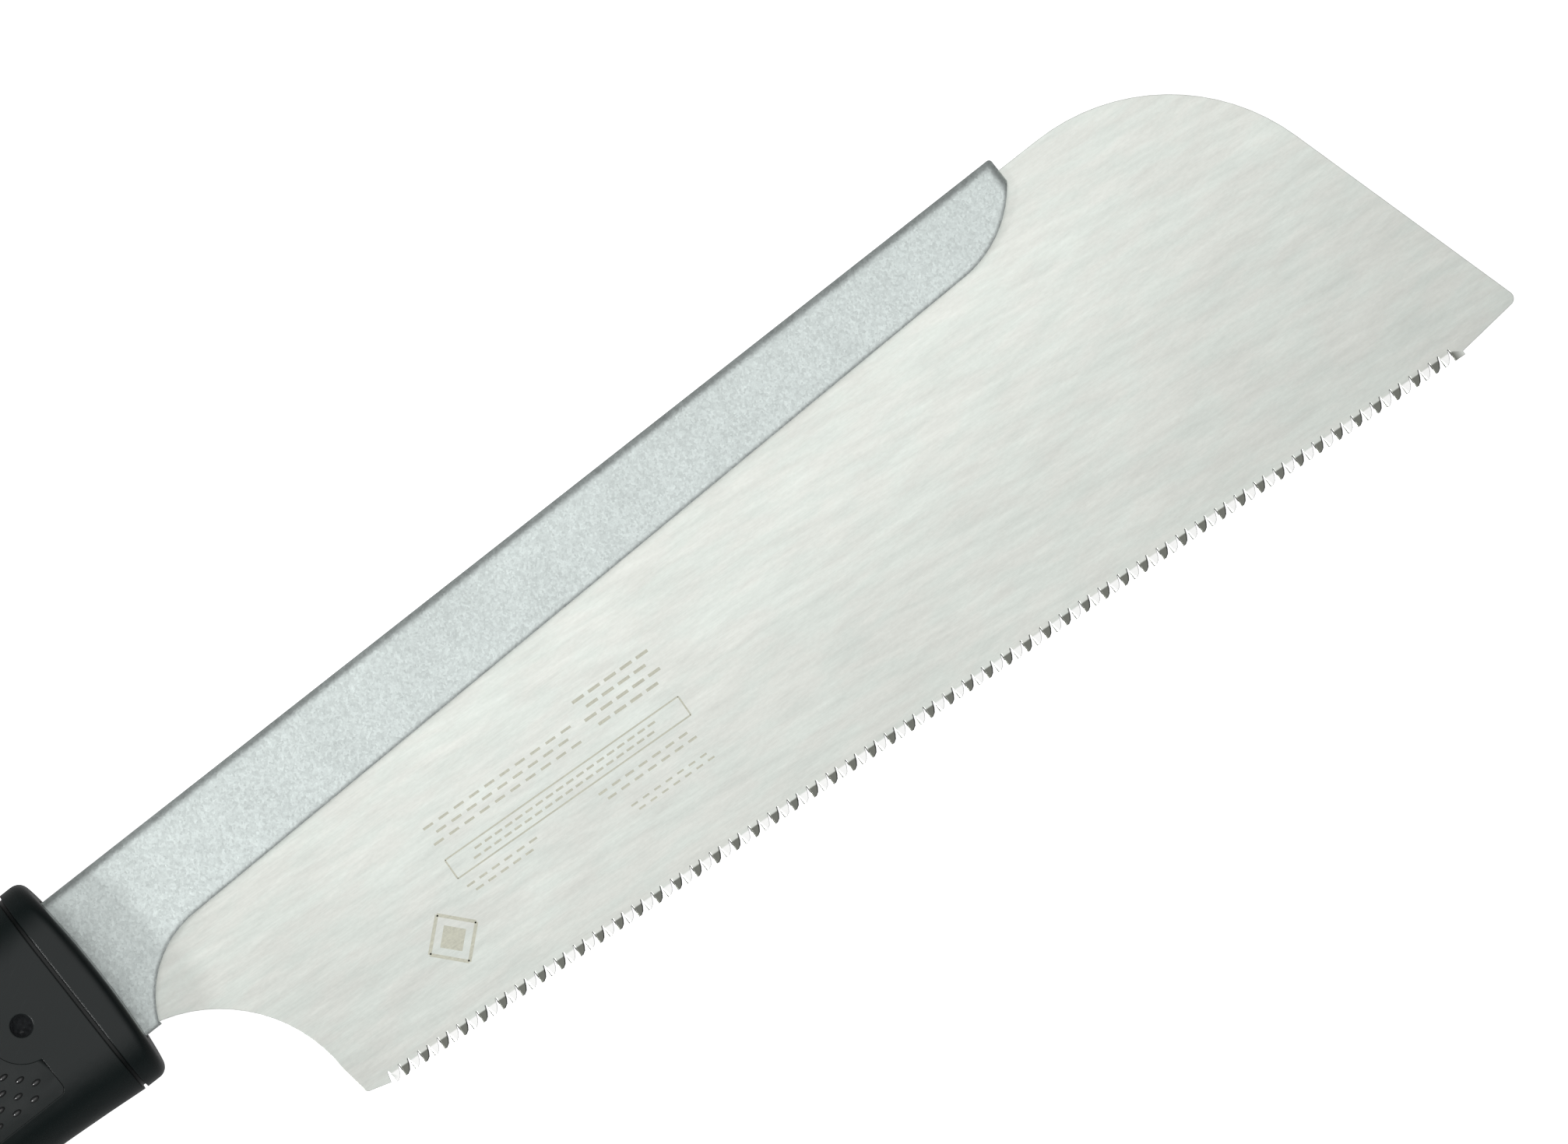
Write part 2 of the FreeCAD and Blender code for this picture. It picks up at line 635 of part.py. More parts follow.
def make_grip_pad(name, side):
    """A soft pad let into the side of a shell and standing a little proud of it."""
    body = new_body(name)
    loft_half(body, side, "pad_proud")
    below = new_sketch(body, name + "_underside_outline")
    everything = box_corners("-handle_length", "-handle_height", "overcut", "handle_height")
    add_outline(below, everything)
    add_feature(body, "Pocket", name + "_underside", below, PAD_FLOOR, reverse=side > 0)
    around = new_sketch(body, name + "_trim_outline")
    add_outline(around, everything)
    pad_outline(around)
    add_feature(body, "Pocket", name + "_trim", around, both=True)
    if side < 0:
        def screw_windows(sketch):
            for place in screw_places()[:-1]:
                add_circle(sketch, place, "0", "screw_head_radius + screw_clearance")
        pocket_from(body, name + "_screw_windows", "0", side, screw_windows)
    saw_placement(body)
    return body


def make_collar():
    """The ring that holds the two shells together at the front, with the tang's mouth."""
    body = new_body("front_collar")
    section = new_sketch(body, "collar_section", "YZ_Plane", "-collar_length")
    add_outline(section, rounded_corners("-handle_height / 2", f"-{HALF_WIDTH}",
                                         "handle_height / 2", HALF_WIDTH, "handle_corner"))
    add_feature(body, "Pad", "collar_block", section, "collar_length")
    crown = new_sketch(body, "collar_crown_outline")
    edge = "(handle_height / 2 + overcut)"
    sag = f"(collar_crown_radius - sqrt(collar_crown_radius ^ 2 - {edge} ^ 2))"
    add_outline(crown, [
        (f"-{sag}", f"-{edge}", "collar_crown_radius", True),
        (f"-{sag}", edge),
        ("overcut", edge),
        ("overcut", f"-{edge}"),
    ])
    add_feature(body, "Pocket", "collar_crown", crown, both=True)

    def on_rim(edge):
        return all(v.Point.x > -size("collar_length") / 2 for v in edge.Vertexes)

    round_edges(body, "collar_round", "collar_rounding", on_rim)
    mouth = new_sketch(body, "collar_mouth_outline", "YZ_Plane", "overcut")
    half = f"({BACK_THICKNESS} / 2 + mouth_gap)"
    add_outline(mouth, box_corners(f"{TANG_BOTTOM} - mouth_gap", f"-{half}", "back_top + mouth_gap", half))
    add_feature(body, "Pocket", "collar_mouth", mouth)
    saw_placement(body)
    return body


def make_holder():
    """The bent steel channel that the tang slides into. It is open along its lower edge."""
    body = new_body("tang_holder")
    section = new_sketch(body, "holder_section", "YZ_Plane", f"-{HOLDER_REAR}")
    inside, outside = HOLDER_INSIDE, HOLDER_OUTSIDE
    ceiling = "(back_top + holder_gap)"
    add_outline(section, [
        (TANG_BOTTOM, f"-{outside}"),
        (f"{ceiling} + holder_sheet", f"-{outside}"),
        (f"{ceiling} + holder_sheet", outside),
        (TANG_BOTTOM, outside),
        (TANG_BOTTOM, inside),
        (ceiling, inside),
        (ceiling, f"-{inside}"),
        (TANG_BOTTOM, f"-{inside}"),
    ])
    add_feature(body, "Pad", "holder_channel", section, "holder_length")
    holes = new_sketch(body, "holder_holes_outline")
    add_circle(holes, "-lock_back", TANG_MIDDLE, "lock_shank_radius + lock_fit")
    add_circle(holes, "-holder_pin_back", TANG_MIDDLE, "holder_pin_radius + holder_pin_fit")
    add_feature(body, "Pocket", "holder_holes", holes, both=True)
    saw_placement(body)
    return body


def make_holder_pin():
    """The cross pin that anchors the holder's rear end in both shells."""
    body = new_body("holder_pin")
    sketch = new_sketch(body, "pin_circle")
    add_circle(sketch, "0", "0", "holder_pin_radius")
    add_feature(body, "Pad", "pin_rod", sketch, "holder_pin_half_length * 2", both=True)
    saw_placement(body, "-holder_pin_back", TANG_MIDDLE)
    return body


def revolve(body, name, corners):
    """Turns a profile in the XZ plane about the body's own Z axis."""
    sketch = new_sketch(body, name + "_profile", "XZ_Plane")
    add_outline(sketch, corners)
    feature = body.newObject("PartDesign::Revolution", name)
    feature.Profile = sketch
    feature.ReferenceAxis = (sketch, ["V_Axis"])
    feature.Angle = 360
    sketch.Visibility = False
    doc.recompute()
    return feature


def make_lock_screw():
    """The M3 socket-head screw that pinches the holder's cheeks on the tang."""
    body = new_body("lock_screw")
    tip = f"-({HOLDER_OUTSIDE} + nut_thickness + lock_tip_reach)"
    under_head = f"({LOCK_SEAT} + washer_thickness)"
    revolve(body, "lock_screw_turned", [
        ("0", tip),
        ("lock_shank_radius - lock_chamfer", tip),
        ("lock_shank_radius", f"{tip} + lock_chamfer"),
        ("lock_shank_radius", under_head),
        ("lock_head_radius", under_head),
        ("lock_head_radius", f"{LOCK_HEAD_TOP} - lock_chamfer"),
        ("lock_head_radius - lock_chamfer", LOCK_HEAD_TOP),
        ("0", LOCK_HEAD_TOP),
    ])
    socket = new_sketch(body, "lock_key_outline", offset=LOCK_HEAD_TOP)
    corner = "(lock_key / 2 / cos(30))"
    add_outline(socket, [(f"{corner} * cos({60 * k})", f"{corner} * sin({60 * k})") for k in range(6)])
    add_feature(body, "Pocket", "lock_key_socket", socket, "lock_key_depth")
    saw_placement(body, "-lock_back", TANG_MIDDLE)
    return body


def make_lock_washer():
    """The split spring washer between the lock screw's head and the holder."""
    body = new_body("lock_washer")
    ring = new_sketch(body, "washer_outline", offset=LOCK_SEAT)
    add_circle(ring, "0", "0", "washer_radius")
    add_circle(ring, "0", "0", "lock_shank_radius + lock_fit / 2")
    add_feature(body, "Pad", "washer_ring", ring, "washer_thickness")
    slit = new_sketch(body, "washer_slit_outline", offset=LOCK_SEAT)
    add_outline(slit, box_corners("0", "-washer_slit / 2", "washer_radius + overcut", "washer_slit / 2"))
    add_feature(body, "Pocket", "washer_slit_cut", slit, both=True)
    saw_placement(body, "-lock_back", TANG_MIDDLE)
    return body


def make_lock_nut():
    """The square nut in the right shell that the lock screw draws on."""
    body = new_body("lock_nut")
    sketch = new_sketch(body, "nut_outline", offset=f"-({HOLDER_OUTSIDE})")
    half = "(nut_flats / 2)"
    add_outline(sketch, box_corners(f"-{half}", f"-{half}", half, half))
    add_circle(sketch, "0", "0", "lock_shank_radius + lock_fit / 2")
    add_feature(body, "Pad", "nut_block", sketch, "nut_thickness", reverse=True)
    saw_placement(body, "-lock_back", TANG_MIDDLE)
    return body


def make_shell_screws():
    """The three screws that draw the right shell onto the left one."""
    body = new_body("shell_screws")
    top = f"-({SCREW_HEAD_TOP})"
    seat = f"-({SCREW_HEAD_TOP} - screw_head_height)"
    revolve(body, "shell_screw_turned", [
        ("0", top),
        ("screw_head_radius", top),
        ("screw_head_radius", seat),
        ("screw_pilot_radius", seat),
        ("screw_pilot_radius", "screw_bite - screw_point"),
        ("0", "screw_bite"),
    ])
    cross = new_sketch(body, "shell_screw_cross_outline", offset=top)
    arm, half = "screw_cross_reach", "(screw_cross_width / 2)"
    add_outline(cross, [
        (f"-{arm}", f"-{half}"), (f"-{half}", f"-{half}"), (f"-{half}", f"-{arm}"),
        (half, f"-{arm}"), (half, f"-{half}"), (arm, f"-{half}"),
        (arm, half), (half, half), (half, arm),
        (f"-{half}", arm), (f"-{half}", half), (f"-{arm}", half),
    ])
    drive = add_feature(body, "Pocket", "shell_screw_cross", cross, "screw_head_height / 2", reverse=True)
    screws = body.newObject("PartDesign::LinearPattern", "shell_screw_row")
    screws.Originals = [body.getObject("shell_screw_turned"), drive]
    screws.Direction = (plane(body, "X_Axis"), [""])
    screws.Reversed = True
    screws.setExpression("Length", bound(f"{SCREW_REAR} - screw_front"))
    screws.setExpression("Occurrences", bound("screw_count"))
    body.Tip = screws
    doc.recompute()
    saw_placement(body, "-screw_front")
    return body


def make_end_cap():
    """The rounded butt, whose tongue is held between the shells by the last screw."""
    body = new_body("end_cap")
    sketch = new_sketch(body, "cap_outline")
    rear, half = "-handle_length", "(handle_height / 2)"
    add_outline(sketch, [
        (f"-{CAP_FRONT}", f"-{half}"),
        (f"-{CAP_FRONT}", half),
        (f"{rear} + cap_corner", half, "cap_corner", True),
        (rear, f"{half} - cap_corner"),
        (rear, f"-{half} + cap_corner", "cap_corner", True),
        (f"{rear} + cap_corner", f"-{half}"),
    ])
    add_feature(body, "Pad", "cap_block", sketch, "handle_width", both=True)

    def on_outside(edge):
        ends = [v.Point for v in edge.Vertexes]
        flat = all(abs(abs(p.z) - size(HALF_WIDTH)) < TOUCH for p in ends)
        joint = all(abs(p.x + size(CAP_FRONT)) < TOUCH for p in ends)
        return flat and not joint and abs(ends[0].z - ends[-1].z) < TOUCH

    round_edges(body, "cap_round", "handle_corner", on_outside)
    tongue = new_sketch(body, "tongue_outline")
    add_outline(tongue, box_corners(f"-{CAP_FRONT} - overcut", "-tongue_height / 2",
                                    f"-{CAP_FRONT} + tongue_length", "tongue_height / 2"))
    add_feature(body, "Pad", "cap_tongue", tongue, "tongue_width", both=True)
    holes = new_sketch(body, "cap_holes_outline")
    add_circle(holes, f"-{EYELET_BACK}", "0", "eyelet_bore_radius + eyelet_wall + eyelet_fit")
    add_circle(holes, screw_places()[-1], "0", "screw_radius + screw_clearance")
    add_feature(body, "Pocket", "cap_holes", holes, both=True)
    saw_placement(body)
    return body


def make_eyelet():
    """The rolled eyelet that lines the hanging hole."""
    body = new_body("hang_eyelet")
    outer = "(eyelet_bore_radius + eyelet_wall)"
    top = f"({HALF_WIDTH} + eyelet_rim_thickness)"
    revolve(body, "eyelet_turned", [
        ("eyelet_bore_radius", f"-{top}"),
        ("eyelet_rim_radius", f"-{top}"),
        ("eyelet_rim_radius", f"-{HALF_WIDTH}"),
        (outer, f"-{HALF_WIDTH}"),
        (outer, HALF_WIDTH),
        ("eyelet_rim_radius", HALF_WIDTH),
        ("eyelet_rim_radius", top),
        ("eyelet_bore_radius", top),
    ])
    saw_placement(body, f"-{EYELET_BACK}")
    return body


pieces = [
    make_blade(),
    make_back(),
    make_collar(),
    make_shell("left_shell", 1),
    make_shell("right_shell", -1),
    make_grip_pad("left_grip_pad", 1),
    make_grip_pad("right_grip_pad", -1),
    make_holder(),
    make_holder_pin(),
    make_lock_screw(),
    make_lock_washer(),
    make_lock_nut(),
    make_shell_screws(),
    make_end_cap(),
    make_eyelet(),
]
doc.recompute()

for item in doc.Objects:
    if "Invalid" in item.State or "Error" in item.State:
        raise RuntimeError(f"{item.Label} is {item.State}")
for piece in pieces:
    if piece.Shape.isNull() or not piece.Shape.isValid():
        raise RuntimeError(f"{piece.Label} has no valid shape")

os.makedirs("parts", exist_ok=True)
for piece in pieces:
    piece.Shape.exportStep(f"parts/{piece.Label}.step")
    print(f"{piece.Label}: {len(piece.Shape.Solids)} solid(s), {piece.Shape.Volume:.1f} mm3")
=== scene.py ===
"""Looks of the back saw, lying on its side on a pale table and seen from straight above.

Metres, in the frame of the CAD parts: X along the saw towards the blade's tip, Y towards the back.
Lengths given in millimetres are multiplied by MM where they are used. Places on the saw are given from
the crown of the handle's collar, the handle's axis and the middle of the blade, through at().
"""
import math

import bmesh
import bpy
from mathutils import Matrix, Vector
from mathutils.bvhtree import BVHTree


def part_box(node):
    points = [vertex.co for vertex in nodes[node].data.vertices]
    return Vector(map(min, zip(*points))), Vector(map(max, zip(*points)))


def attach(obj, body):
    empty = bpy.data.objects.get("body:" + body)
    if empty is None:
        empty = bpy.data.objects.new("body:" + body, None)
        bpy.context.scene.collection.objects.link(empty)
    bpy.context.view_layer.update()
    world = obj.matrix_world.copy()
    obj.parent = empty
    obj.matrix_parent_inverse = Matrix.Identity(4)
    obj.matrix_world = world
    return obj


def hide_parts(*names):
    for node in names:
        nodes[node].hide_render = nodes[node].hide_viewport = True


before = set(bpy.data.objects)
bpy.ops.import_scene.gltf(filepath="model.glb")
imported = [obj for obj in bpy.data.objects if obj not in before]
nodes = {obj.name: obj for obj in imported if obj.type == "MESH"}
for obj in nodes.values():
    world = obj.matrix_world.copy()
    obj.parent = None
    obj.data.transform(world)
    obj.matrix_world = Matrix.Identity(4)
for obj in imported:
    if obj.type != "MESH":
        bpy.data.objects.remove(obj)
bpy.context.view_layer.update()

MM = 0.001
WELD = 1e-6                     # points closer than this are one

collar_low, collar_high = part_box("front_collar")
collar_middle = (collar_low + collar_high) / 2
COLLAR_CROWN = Vector((collar_high.x, collar_middle.y, collar_middle.z))

TOOTH_LINE_ANGLE = math.radians(3.88)
TOOTH_LINE_DROP = 33.34         # tooth tips below the handle's axis, at the collar's crown
TOOTH_PITCH = 1.51
TOOTH_DEPTH = 1.75
FIRST_TOOTH = 21.15             # in front of the collar's crown
LAST_TOOTH = 186.0
BLADE_HALF = 0.15               # half the blade's thickness
BRUSHING_SLOPE = math.radians(-3)


def at(x, y, z=0.0):
    """A place in millimetres from the collar's crown, as a point of the frame."""
    return COLLAR_CROWN + Vector((x, y, z)) * MM


# ---------------------------------------------------------------- materials

class Shader:
    """A material under construction: one Principled shader and short calls that add nodes to it."""

    def __init__(self, name, metallic=0.0, roughness=0.5, specular=0.5):
        self.material = bpy.data.materials.new(name)
        self.material.use_nodes = True
        self.tree = self.material.node_tree
        self.tree.nodes.clear()
        self.surface = self.add("ShaderNodeBsdfPrincipled")
        output = self.add("ShaderNodeOutputMaterial")
        self.tree.links.new(self.surface.outputs["BSDF"], output.inputs["Surface"])
        self.surface.inputs["Metallic"].default_value = metallic
        self.surface.inputs["Roughness"].default_value = roughness
        self.surface.inputs["Specular IOR Level"].default_value = specular
        self.position = self.add("ShaderNodeTexCoord").outputs["Object"]

    def add(self, kind, **settings):
        node = self.tree.nodes.new(kind)
        for name, value in settings.items():
            setattr(node, name, value)
        return node

    def put(self, socket, value):
        """Links an output to a socket, or sets the socket's own value."""
        if isinstance(value, bpy.types.NodeSocket):
            self.tree.links.new(value, socket)
        else:
            socket.default_value = value

    def set(self, name, value):
        self.put(self.surface.inputs[name], value)

    def stretched(self, along, across, slope=0.0):
        """Coordinates for a grain of these lengths in millimetres, sloping by an angle from X."""
        mapping = self.add("ShaderNodeMapping", vector_type="TEXTURE")
        mapping.inputs["Rotation"].default_value = (0, 0, slope)
        mapping.inputs["Scale"].default_value = (along * MM, across * MM, across * MM)
        self.put(mapping.inputs["Vector"], self.position)
        return mapping.outputs["Vector"]

    def noise(self, along, across=None, slope=0.0, detail=3.0, roughness=0.55):
        texture = self.add("ShaderNodeTexNoise")
        self.put(texture.inputs["Vector"], self.stretched(along, across or along, slope))
        texture.inputs["Scale"].default_value = 1.0
        texture.inputs["Detail"].default_value = detail
        texture.inputs["Roughness"].default_value = roughness
        return texture.outputs["Fac"]

    def flakes(self, grain):
        """A random grey for each grain of this size in millimetres."""
        texture = self.add("ShaderNodeTexVoronoi", feature="F1")
        self.put(texture.inputs["Vector"], self.stretched(grain, grain))
        texture.inputs["Scale"].default_value = 1.0
        grey = self.add("ShaderNodeRGBToBW")
        self.put(grey.inputs["Color"], texture.outputs["Color"])
        return grey.outputs["Val"]

    def remap(self, value, low, high, to_low, to_high):
        node = self.add("ShaderNodeMapRange", clamp=True)
        self.put(node.inputs["Value"], value)
        ends = {"From Min": low, "From Max": high, "To Min": to_low, "To Max": to_high}
        for name, number in ends.items():
            node.inputs[name].default_value = number
        return node.outputs["Result"]

    def math(self, operation, first, second):
        node = self.add("ShaderNodeMath", operation=operation)
        self.put(node.inputs[0], first)
        self.put(node.inputs[1], second)
        return node.outputs["Value"]

    def mix(self, share, first, second, blend="MIX"):
        node = self.add("ShaderNodeMix", data_type="RGBA", blend_type=blend)
        self.put(node.inputs["Factor"], share)
        self.put(node.inputs[6], first)
        self.put(node.inputs[7], second)
        return node.outputs[2]

    def shade(self, colour, factor):
        """A colour multiplied by a grey factor."""
        grey = self.add("ShaderNodeCombineColor")
        for name in ("Red", "Green", "Blue"):
            self.put(grey.inputs[name], factor)
        return self.mix(1.0, colour, grey.outputs["Color"], "MULTIPLY")

    def attribute(self, name):
        return self.add("ShaderNodeAttribute", attribute_name=name).outputs["Fac"]

    def axis(self, name):
        split = self.add("ShaderNodeSeparateXYZ")
        self.put(split.inputs["Vector"], self.position)
        return split.outputs[name]

    def rounded(self, radius):
        """Shades edges as if they were rounded by a radius in millimetres."""
        node = self.add("ShaderNodeBevel", samples=6)
        node.inputs["Radius"].default_value = radius * MM
        self.set("Normal", node.outputs["Normal"])

    def fade(self, factor, axis, start, finish, share):
        """A factor multiplied by one up to a place on an axis, and by a share from another place on."""
        ends = [getattr(at(place, place), axis.lower()) for place in (start, finish)]
        return self.math("MULTIPLY", factor, self.remap(self.axis(axis), *ends, 1.0, share))

    def vary(self, factor, texture, low, high):
        """A factor multiplied by a range that follows a texture's middle values."""
        return self.math("MULTIPLY", factor, self.remap(texture, 0.3, 0.7, low, high))

    def bump(self, height, distance):
        """Relief of a height in millimetres, after any relief that the shader has already."""
        node = self.add("ShaderNodeBump")
        node.inputs["Strength"].default_value = 1.0
        node.inputs["Distance"].default_value = distance * MM
        self.put(node.inputs["Height"], height)
        socket = self.surface.inputs["Normal"]
        if socket.links:
            self.put(node.inputs["Normal"], socket.links[0].from_socket)
        self.put(socket, node.outputs["Normal"])


def brushed_blade_steel():
    """Bright carbon steel, ground along the blade, with painted shade gradients across it, and teeth
    painted alternately dark as painted shade and near white as a painted highlight.
    """
    s = Shader("blade_steel", metallic=1.0, roughness=0.36)
    s.rounded(0.14)
    fine = s.noise(4.0, 0.2, BRUSHING_SLOPE, detail=4.0)
    strokes = s.noise(9.0, 1.1, BRUSHING_SLOPE * 3, detail=3.0)
    crossing = s.noise(6.0, 0.8, -BRUSHING_SLOPE * 3, detail=3.0)
    clouds = s.noise(15.0, 6.0, BRUSHING_SLOPE, detail=4.0)
    grain = s.noise(0.6, 0.4, BRUSHING_SLOPE, detail=2.0)
    factor = s.remap(fine, 0.3, 0.7, 0.955, 1.03)
    factor = s.vary(factor, strokes, 0.95, 1.045)
    factor = s.vary(factor, crossing, 0.975, 1.025)
    factor = s.vary(factor, clouds, 0.96, 1.03)
    factor = s.vary(factor, grain, 0.975, 1.025)
    # Painted shade and light: the steel is darkened towards the teeth, the heel and the toe, and lightened
    # towards the back.
    factor = s.fade(factor, "Y", -12, -22, 0.93)
    factor = s.fade(factor, "Y", -22, -44, 0.92)
    factor = s.fade(factor, "Y", -12, 8, 1.06)
    factor = s.fade(factor, "X", 50, 8, 0.86)
    factor = s.fade(factor, "X", 140, 190, 0.91)
    tint = s.remap(s.noise(7.0, 2.5, BRUSHING_SLOPE, detail=3.0), 0.4, 0.6, 0.0, 1.0)
    steel = s.shade(s.mix(tint, (0.795, 0.838, 0.789, 1), (0.811, 0.83, 0.782, 1)), factor)
    # Painted shade: every second tooth is darkened from below its root to its tip. Painted highlight: the
    # other teeth are lightened to near white.
    tooth = s.attribute("painted_tooth_shade_and_highlight")
    steel = s.mix(s.remap(tooth, 0.1, 0.9, 0.0, 0.95), steel, (0.15, 0.155, 0.135, 1))
    steel = s.mix(s.remap(tooth, -0.1, -0.9, 0.0, 0.9), steel, (0.985, 0.985, 0.975, 1))
    s.set("Base Color", steel)
    s.set("Roughness", s.remap(fine, 0.3, 0.7, 0.32, 0.42))
    s.bump(fine, 0.004)
    return s.material


def sparkling_back_paint():
    """Silver enamel with metal flakes over the folded steel."""
    s = Shader("back_paint", metallic=0.85, roughness=0.42)
    s.rounded(1.0)
    flakes = s.flakes(0.3)
    fine_flakes = s.flakes(0.16)
    soft = s.noise(0.9, detail=2.0)
    clouds = s.noise(7.0, detail=3.0)
    factor = s.remap(flakes, 0.1, 0.9, 0.87, 1.1)
    factor = s.math("MULTIPLY", factor, s.remap(fine_flakes, 0.1, 0.9, 0.95, 1.05))
    factor = s.vary(factor, soft, 0.95, 1.05)
    factor = s.vary(factor, clouds, 0.96, 1.04)
    s.set("Base Color", s.shade((0.68, 0.74, 0.725, 1), factor))
    s.set("Roughness", s.remap(soft, 0.3, 0.7, 0.36, 0.48))
    s.set("Coat Weight", 0.15)
    s.set("Coat Roughness", 0.2)
    s.bump(flakes, 0.008)
    s.bump(soft, 0.03)
    return s.material


def glossy_black_plastic():
    """Moulded black plastic with a faint orange peel and light handling marks."""
    s = Shader("handle_plastic", roughness=0.22, specular=0.38)
    s.rounded(0.3)
    peel = s.noise(1.4, detail=2.0)
    clouds = s.noise(6.0, detail=3.0)
    rubs = s.noise(9.0, 0.12, math.radians(24), detail=3.0)
    worn = s.remap(rubs, 0.62, 0.72, 0.0, 0.4)
    s.set("Base Color", s.mix(worn, (0.002, 0.005, 0.005, 1), (0.012, 0.015, 0.015, 1)))
    s.set("Roughness", s.remap(clouds, 0.3, 0.7, 0.2, 0.32))
    s.bump(peel, 0.01)
    s.bump(clouds, 0.05)
    return s.material


def soft_grip_rubber():
    """Black elastomer, a little duller than the shells, with a fine moulded grain."""
    s = Shader("grip_elastomer", roughness=0.4, specular=0.38)
    grain = s.noise(0.25, detail=2.0)
    dust = s.noise(3.0, detail=5.0)
    s.set("Base Color", s.mix(s.remap(dust, 0.5, 0.75, 0.0, 0.6), (0.004, 0.007, 0.007, 1),
                              (0.014, 0.016, 0.016, 1)))
    s.set("Roughness", s.remap(dust, 0.3, 0.7, 0.34, 0.5))
    s.bump(grain, 0.01)
    return s.material


def nub_rubber():
    """The same elastomer, polished where hands rub it."""
    s = Shader("grip_nub_rubber", roughness=0.26, specular=1.0)
    grain = s.noise(0.3, detail=2.0)
    s.set("Base Color", s.mix(s.remap(grain, 0.4, 0.7, 0.0, 1.0), (0.008, 0.009, 0.0095, 1),
                              (0.014, 0.015, 0.015, 1)))
    s.set("Roughness", s.remap(grain, 0.3, 0.7, 0.22, 0.32))
    return s.material


def zinc_plating():
    """Zinc with a cloudy passivated bloom and fine scratches."""
    s = Shader("zinc_steel", metallic=1.0, roughness=0.35)
    bloom = s.noise(2.2, detail=4.0)
    scratches = s.noise(4.0, 0.08, math.radians(11), detail=2.0)
    colour = s.mix(s.remap(bloom, 0.35, 0.65, 0.0, 1.0), (0.60, 0.62, 0.66, 1), (0.70, 0.70, 0.66, 1))
    s.set("Base Color", s.shade(colour, s.remap(scratches, 0.3, 0.7, 0.92, 1.05)))
    s.set("Roughness", s.remap(bloom, 0.3, 0.7, 0.28, 0.45))
    s.bump(scratches, 0.004)
    return s.material


def black_oxide():
    """Oiled black oxide on a machined screw, with bare steel showing through at rubbed spots."""
    s = Shader("black_steel", metallic=0.9, roughness=0.38)
    rubbed = s.noise(0.7, detail=4.0)
    turning = s.noise(0.5, 0.5, detail=2.0)
    s.set("Base Color", s.mix(s.remap(rubbed, 0.6, 0.72, 0.0, 0.5), (0.022, 0.024, 0.026, 1),
                              (0.16, 0.16, 0.16, 1)))
    s.set("Roughness", s.remap(turning, 0.3, 0.7, 0.3, 0.46))
    s.bump(turning, 0.006)
    return s.material


def nickel_plating():
    """Bright nickel with a slight warm tone and handling haze."""
    s = Shader("nickel", metallic=1.0, roughness=0.18)
    haze = s.noise(1.8, detail=4.0)
    scratches = s.noise(3.0, 0.07, math.radians(35), detail=2.0)
    s.set("Base Color", s.shade((0.74, 0.72, 0.67, 1), s.remap(scratches, 0.3, 0.7, 0.93, 1.04)))
    s.set("Roughness", s.remap(haze, 0.3, 0.7, 0.12, 0.28))
    s.bump(scratches, 0.003)
    return s.material


def etched_steel():
    """The blade's steel where a shallow etch has dulled it."""
    s = Shader("etched_steel", metallic=1.0, roughness=0.5)
    bite = s.noise(0.35, detail=3.0)
    streaks = s.noise(5.0, 0.16, BRUSHING_SLOPE, detail=4.0)
    factor = s.vary(s.remap(bite, 0.3, 0.7, 0.9, 1.1), streaks, 0.93, 1.07)
    s.set("Base Color", s.shade((0.58, 0.58, 0.49, 1), factor))
    s.set("Roughness", s.remap(bite, 0.3, 0.7, 0.42, 0.58))
    return s.material


# ---------------------------------------------------------------- shapes

def dress(piece, material):
    """One material all over."""
    piece.data.materials.clear()
    piece.data.materials.append(material)
    return piece


def smoothed(piece, angle_degrees):
    """Smooth shading that keeps edges sharper than the angle."""
    piece.data.shade_smooth()
    piece.data.set_sharp_from_angle(angle=math.radians(angle_degrees))
    return piece


def object_from(mesh, name, body):
    """Makes an object of a bmesh and lets it ride on a body."""
    data = bpy.data.meshes.new(name)
    mesh.to_mesh(data)
    mesh.free()
    piece = bpy.data.objects.new(name, data)
    bpy.context.scene.collection.objects.link(piece)
    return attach(piece, body)


def welded(node):
    """A bmesh of a CAD node with its seams closed."""
    mesh = bmesh.new()
    mesh.from_mesh(nodes[node].data)
    bmesh.ops.remove_doubles(mesh, verts=mesh.verts, dist=WELD)
    return mesh


def on_tooth_line(point):
    """How far a point is along the tooth line, and how far above it, in millimetres."""
    local = (point - COLLAR_CROWN) / MM
    start = Vector((FIRST_TOOTH, -TOOTH_LINE_DROP - FIRST_TOOTH * math.tan(TOOTH_LINE_ANGLE), 0))
    line = Vector((math.cos(TOOTH_LINE_ANGLE), -math.sin(TOOTH_LINE_ANGLE), 0))
    up = Vector((math.sin(TOOTH_LINE_ANGLE), math.cos(TOOTH_LINE_ANGLE), 0))
    return (local - start).dot(line), (local - start).dot(up)


